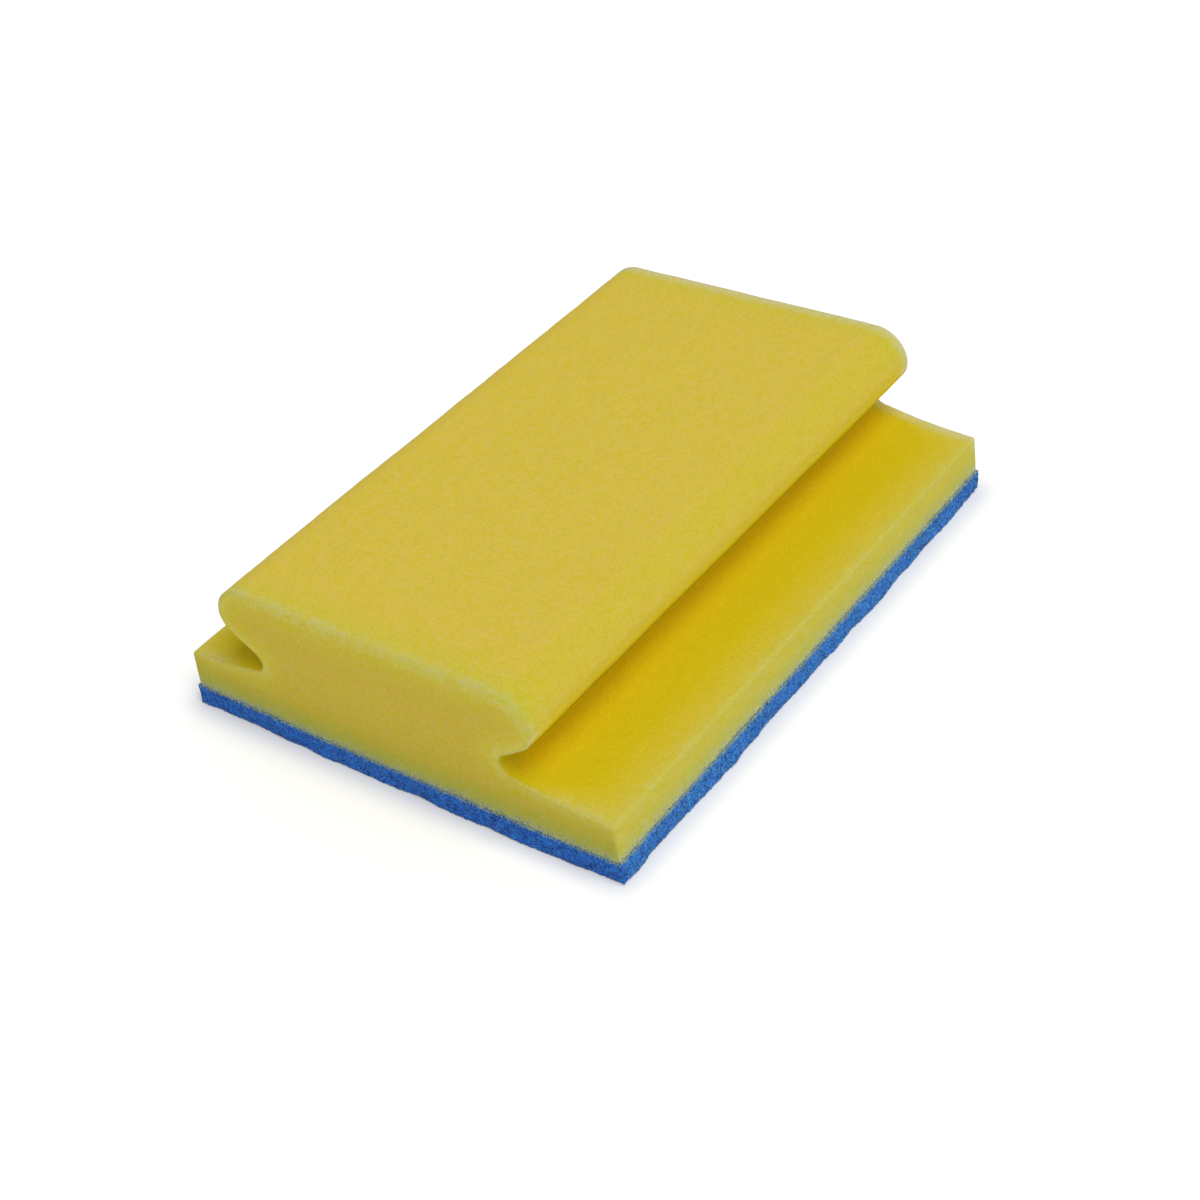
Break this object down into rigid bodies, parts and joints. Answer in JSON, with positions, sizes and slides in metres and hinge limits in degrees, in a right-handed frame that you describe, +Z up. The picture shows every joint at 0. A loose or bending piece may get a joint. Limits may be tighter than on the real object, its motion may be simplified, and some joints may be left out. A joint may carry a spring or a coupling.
{
  "type": "cleaning sponge",
  "caption": "Grip sponge: a foam block with a mushroom section and finger grooves under its head, bonded to a thin fibre scouring pad.",
  "frame": {"origin": "middle of the scouring pad's underside", "axes": "+X along the finger grooves, +Y across them, +Z up out of the flat top of the head"},
  "size_m": [0.1504, 0.1204, 0.0406],
  "materials": {
    "foam": "fine-pored, matt",
    "fibre_pad": "coarse non-woven fibre, matt"
  },
  "bodies": {
    "root": {"foam_body": "foam", "scouring_pad": "fibre_pad"}
  },
  "joints": []
}
